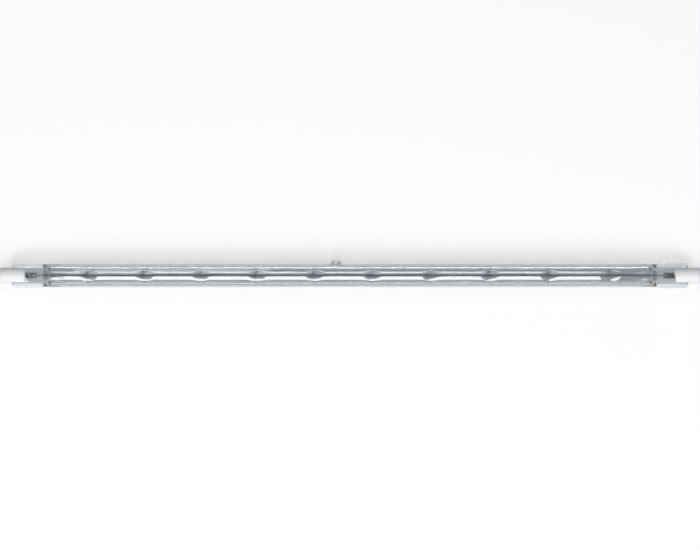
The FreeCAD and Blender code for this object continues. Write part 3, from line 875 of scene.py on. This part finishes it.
def cap(side):
    segments = 96
    corner_steps = 5
    tight_round = 0.06 * MM
    mouth_round = 0.2 * MM
    nose_round = 0.7 * MM
    step_round = 0.1 * MM
    jaw_round = 0.3 * MM
    hole_round = 0.1 * MM
    hole_radius = SHANK_RADIUS + CONTACT_FIT
    corners = [
        (SEAT_DEPTH, SEAT_RADIUS / 2),
        (SEAT_DEPTH, SEAT_RADIUS, tight_round),
        (RECESS_DEPTH, SEAT_RADIUS, tight_round),
        (RECESS_DEPTH, RECESS_RADIUS, tight_round),
        (0.0, RECESS_RADIUS, mouth_round),
        (0.0, CAP_RADIUS, nose_round),
        (HEAD_LENGTH, CAP_RADIUS, step_round),
        (HEAD_LENGTH, JAW_RADIUS, tight_round),
        (CAP_LENGTH, JAW_RADIUS, jaw_round),
        (CAP_LENGTH, hole_radius, hole_round),
        (SEAT_DEPTH, hole_radius),
    ]
    body = lathe(f"cap_{side}_ceramic", side, round_corners(corners, corner_steps), segments)
    wide = 2 * CAP_RADIUS
    margin = 1.0 * MM
    inner = ENDS[side] * (END - HEAD_LENGTH)
    outer = ENDS[side] * (END - CAP_LENGTH - margin)
    low = (min(inner, outer), -wide, -SLOT_LEVEL)
    high = (max(inner, outer), wide, SLOT_LEVEL)
    cut_away(body, block("slot_tool", low, high))
    dress(body, f"cap_{side}", CERAMIC)


# Contact buttons, faintly domed, on a shank that holds the lead
def contact(side):
    segments = 64
    corner_steps = 4
    dome_steps = 8
    dome_drop = 0.12 * MM
    dome_share = 0.85
    rim_share = 0.86
    rim_drop = 0.09 * MM
    rim_round = 0.1 * MM
    back_round = 0.05 * MM
    shank_round = 0.15 * MM
    shank_gap = 0.9 * MM
    lead_hole = 0.42 * MM
    floor_thickness = 0.4 * MM
    axis_gap = 0.02 * MM
    radius = SEAT_RADIUS - CONTACT_FIT
    shank_end = HEAD_LENGTH - shank_gap
    hole_end = SEAT_DEPTH + floor_thickness
    across = np.linspace(axis_gap, dome_share * radius, dome_steps)
    dome = np.column_stack([RECESS_DEPTH + dome_drop * (across / radius) ** 2, across])
    corners = [
        (RECESS_DEPTH + rim_drop, rim_share * radius),
        (RECESS_DEPTH + dome_drop, radius, rim_round),
        (SEAT_DEPTH, radius, back_round),
        (SEAT_DEPTH, SHANK_RADIUS, back_round),
        (shank_end, SHANK_RADIUS, shank_round),
        (shank_end, lead_hole),
    ]
    inside = [(hole_end, lead_hole), (hole_end, axis_gap)]
    profile = np.concatenate([dome, round_corners(corners, corner_steps), inside])
    body = lathe(f"contact_{side}_button", side, profile, segments)
    dress(body, f"contact_{side}", CONTACT_METAL)


# Cement between jaws and pinch, squeezed out as a lumpy bead at the mouth of the cap
LUMP_REACH = {"left": 2.0 * MM, "right": 0.35 * MM}
LUMP_PLACE = {"left": -2.7 * MM, "right": 0.8 * MM}
LUMP_WIDTH = {"left": 1.4 * MM, "right": 0.9 * MM}
LUMP_RISE = 0.6
BEAD_START = 0.6
BEAD_EDGE = 0.01
BEAD_REACH = 0.22 * MM
BEAD_ROUGH = 0.15 * MM
BEAD_SCALE = 1400
BEAD_RISE = 2.2
BEAD_RAMP = 5
BEAD_FACE_SLICE = 7.0
BEAD_END_SLICE = 3.0
GRIT_SCALE = 2600
GRIT_SHARE = 0.25
GRIT_FACE_SLICE = 5.0


def cement(side):
    columns = 49
    jaw_rows = 10
    bead_rows = 22
    row_gap = 0.02
    side_gap = 0.05 * MM
    skin = 0.01 * MM
    half = math.sqrt(JAW_RADIUS**2 - SLOT_LEVEL**2) - side_gap
    across = np.linspace(-half, half, columns)
    under_jaw = np.linspace(0, BEAD_START, jaw_rows)
    share = np.concatenate([under_jaw, np.linspace(BEAD_START + row_gap, 1, bead_rows)])[:, None]
    swell = np.clip((share - BEAD_START) / (1 - BEAD_START), 0, 1)
    lump = np.exp(-(((across - LUMP_PLACE[side]) / LUMP_WIDTH[side]) ** 2))
    rise = 1 + BEAD_RISE * np.minimum(swell * BEAD_RAMP, 1) * LUMP_RISE * (1 + lump)
    hump = np.sqrt(np.clip(1 - swell**2, 0, 1)) * rise
    verts = []
    faces = []
    for face in (1, -1):
        rough = noise_at(across * BEAD_SCALE, face * BEAD_FACE_SLICE, ENDS[side] * BEAD_END_SLICE)
        bead = BEAD_REACH + BEAD_ROUGH * rough + LUMP_REACH[side] * lump
        depth = np.where(
            share < BEAD_START,
            HEAD_LENGTH + (CAP_LENGTH - HEAD_LENGTH) * share / BEAD_START,
            CAP_LENGTH + bead * (share - BEAD_START) / (1 - BEAD_START),
        )
        grit = noise_at(depth * GRIT_SCALE, across * GRIT_SCALE, face * GRIT_FACE_SLICE)
        grit = grit * (swell > BEAD_EDGE)
        height = (CEMENT_GAP - skin) * hump * (1 + GRIT_SHARE * grit) + skin
        places = np.dstack([ENDS[side] * (END - depth), np.broadcast_to(across, depth.shape)])
        lower = np.full(depth.shape, WEB_LEVEL + skin / 2)
        points, quads = sheet_mesh(places, lower, WEB_LEVEL + height)
        points[:, 2] *= face
        flip = face * ENDS[side] < 0
        faces += [tuple(v + len(verts) for v in (quad if flip else quad[::-1])) for quad in quads]
        verts += list(points)
    body = new_object(f"cement_{side}_bead", verts, faces)
    dress(body, f"cement_{side}", CEMENT)


# Foils, thin enough to crumple as the press closes on them
CRUMPLE = {"left": 0.17 * MM, "right": 0.05 * MM}
FOIL_LEAN = {"left": 0.22, "right": 0.0}
FOLDS_ALONG = 900
FOLDS_ACROSS = 420
FOLD_END_SLICE = 2.0
FOLD_SHARE = 0.9
CREASES_PER_METRE = 480
CREASE_SHARE = 0.5
FOIL_SINK = 0.6


def foil(side):
    node = f"foil_{side}"
    low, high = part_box(node)
    rows = 91
    columns = 29
    sharp_from = math.radians(60)
    x = np.linspace(low.x, high.x, rows)
    y = np.linspace(low.y, high.y, columns)
    places = np.dstack(np.meshgrid(x, y, indexing="ij"))
    folds = noise_at(x[:, None] * FOLDS_ALONG, y * FOLDS_ACROSS, ENDS[side] * FOLD_END_SLICE)
    creases = np.abs(x * CREASES_PER_METRE % 1 - 0.5)[:, None] * 2 - 0.5
    middle = (low.z + high.z) / 2
    wave = FOLD_SHARE * folds + CREASE_SHARE * creases - FOIL_SINK
    lift = middle + CRUMPLE[side] * wave + FOIL_LEAN[side] * y
    half = (high.z - low.z) / 2
    points, quads = sheet_mesh(places, lift - half, lift + half)
    body = new_object(f"{node}_strip", points, quads)
    body.data.set_sharp_from_angle(angle=sharp_from)
    dress(body, node, FOIL_METAL)


def lead(kind, side):
    node = f"{kind}_lead_{side}"
    low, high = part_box(node)
    path_steps = 60
    wire_sides = 20
    end_gap = 0.02 * MM
    fade_out = 0.6 * MM
    fade_in = 0.3 * MM
    spread = 0.25
    weld_flat = 0.12 * MM
    radius = high.z
    x = np.linspace(low.x + end_gap, high.x - end_gap, path_steps)
    path = np.column_stack([x, np.zeros_like(x), np.zeros_like(x)])
    wire = tube_along(f"{node}_wire", path, radius, wire_sides)
    foil_low, foil_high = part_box(f"foil_{side}")
    for vertex in wire.data.vertices:
        past_low = smooth_step(vertex.co.x, foil_low.x - fade_out, foil_low.x + fade_in)
        past_high = smooth_step(vertex.co.x, foil_high.x - fade_in, foil_high.x + fade_out)
        on_foil = past_low * (1 - past_high)
        vertex.co.y *= 1 + spread * on_foil
        vertex.co.z = max(vertex.co.z * (1 - spread * on_foil), -radius + weld_flat * on_foil)
    dress(wire, node, LEAD_METAL)


quartz_envelope()
filament()
for number in range(SUPPORT_COUNT):
    support(number)
for end in ENDS:
    cap(end)
    contact(end)
    cement(end)
    foil(end)
    lead("inner", end)
    lead("outer", end)

# Floor, world, lamps and camera
FLOOR_HALF = 6.0
FLOOR_BOUNCE = 0.12
FLOOR_SHADE = 0.50
FLOOR_GLOW = 0.58
WORLD_LIGHT = 0.05
WORLD_SEEN = 0.4
STRIP_DISTANCE = 1.1
BAND_ENDS = (-0.26, 0.16)
CARD_ENDS = (-0.17, -0.05)
EDGE_ENDS = (-0.25, 0.25)
END_LAMP_PLACE = (0.75, -0.65, 0.55)
END_LAMP_WIDTH = 0.4
SENSOR_WIDTH = 36
LENS = 400
CLIP_END = 50
PHOTO_WIDTH = 700


def background_share(tree):
    """1 for the rays that look at the background: camera, mirror and glass rays."""
    path = add_node(tree, "ShaderNodeLightPath")
    seen = combine(tree, "MAXIMUM", path.outputs["Is Camera Ray"], path.outputs["Is Glossy Ray"])
    return combine(tree, "MAXIMUM", seen, path.outputs["Is Transmission Ray"])


def grey(shade):
    return (shade, shade, shade, 1)


def floor():
    """White where it is looked at, but for the lamp's shadow, and dark in the light it throws back."""
    low = -FLOOR_HALF
    high = FLOOR_HALF
    level = -TUBE_RADIUS
    corners = [(low, low, level), (high, low, level), (high, high, level), (low, high, level)]
    obj = new_object("floor", corners, [(0, 1, 2, 3)], smooth=False)
    material = bpy.data.materials.new("white_floor")
    material.use_nodes = True
    tree = material.node_tree
    tree.nodes.clear()
    lit = add_node(tree, "ShaderNodeBsdfDiffuse", {"Color": grey(FLOOR_BOUNCE)})
    shown = add_node(tree, "ShaderNodeBsdfDiffuse", {"Color": grey(FLOOR_SHADE)})
    white = add_node(tree, "ShaderNodeEmission", {"Color": grey(1), "Strength": FLOOR_GLOW})
    both = add_node(tree, "ShaderNodeAddShader")
    mix = add_node(tree, "ShaderNodeMixShader")
    out = add_node(tree, "ShaderNodeOutputMaterial")
    tree.links.new(shown.outputs["BSDF"], both.inputs[0])
    tree.links.new(white.outputs["Emission"], both.inputs[1])
    tree.links.new(background_share(tree), mix.inputs["Fac"])
    tree.links.new(lit.outputs["BSDF"], mix.inputs[1])
    tree.links.new(both.outputs["Shader"], mix.inputs[2])
    tree.links.new(mix.outputs["Shader"], out.inputs["Surface"])
    obj.data.materials.append(material)


def world():
    studio = bpy.data.worlds.new("studio")
    studio.use_nodes = True
    tree = studio.node_tree
    background = tree.nodes["Background"]
    background.inputs["Color"].default_value = grey(1)
    strength = background.inputs["Strength"]
    number_range(tree, background_share(tree), (0, 1), (WORLD_LIGHT, WORLD_SEEN), strength)
    bpy.context.scene.world = studio


def area_lamp(name, length, width, brightness):
    """Flat lamp whose face is equally bright whatever its size."""
    data = bpy.data.lights.new(name, "AREA")
    data.shape = "RECTANGLE"
    data.size = length
    data.size_y = width
    data.energy = brightness * math.pi * length * width
    lamp = bpy.data.objects.new(name, data)
    bpy.context.scene.collection.objects.link(lamp)
    return lamp


def strip_lamp(name, lean, spread, brightness, ends):
    """Long soft lamp beside the tube. Lean is its angle from straight up, towards -Y if positive."""
    angle = math.radians(lean)
    start, stop = ends
    width = 2 * STRIP_DISTANCE * math.tan(math.radians(spread) / 2)
    lamp = area_lamp(name, stop - start, width, brightness)
    lamp.location = Vector((0, -math.sin(angle), math.cos(angle))) * STRIP_DISTANCE
    lamp.location.x = (start + stop) / 2
    lamp.rotation_euler = (angle, 0, 0)


def end_lamp(name, side, brightness):
    """Square soft lamp beyond one end of the tube, where its long bands of light don't show it."""
    lamp = area_lamp(name, END_LAMP_WIDTH, END_LAMP_WIDTH, brightness)
    along, across, up = END_LAMP_PLACE
    lamp.location = (ENDS[side] * along, across, up)
    aim = Vector((ENDS[side] * END, 0, 0)) - lamp.location
    lamp.rotation_euler = aim.to_track_quat("-Z", "Y").to_euler()


def camera():
    """Far camera straight above, with the lamp as long as the picture is wide and half a pixel low."""
    data = bpy.data.cameras.new("photo_camera")
    data.sensor_width = SENSOR_WIDTH
    data.lens = LENS
    data.clip_end = CLIP_END
    obj = bpy.data.objects.new("photo_camera", data)
    distance = 2 * END * LENS / SENSOR_WIDTH
    half_pixel = END / PHOTO_WIDTH
    obj.location = (0, half_pixel, distance)
    bpy.context.scene.collection.objects.link(obj)
    bpy.context.scene.camera = obj


floor()
world()
strip_lamp("key", lean=27, spread=36, brightness=5.8, ends=BAND_ENDS)
strip_lamp("far_strip", lean=-34, spread=7, brightness=7, ends=BAND_ENDS)
strip_lamp("far_card", lean=-53, spread=26, brightness=1.7, ends=CARD_ENDS)
strip_lamp("near_edge", lean=87, spread=6, brightness=5, ends=EDGE_ENDS)
strip_lamp("far_edge", lean=-87, spread=6, brightness=14, ends=EDGE_ENDS)
end_lamp("left_end", "left", brightness=8)
end_lamp("right_end", "right", brightness=8)
camera()
bpy.context.scene.view_settings.view_transform = "Standard"
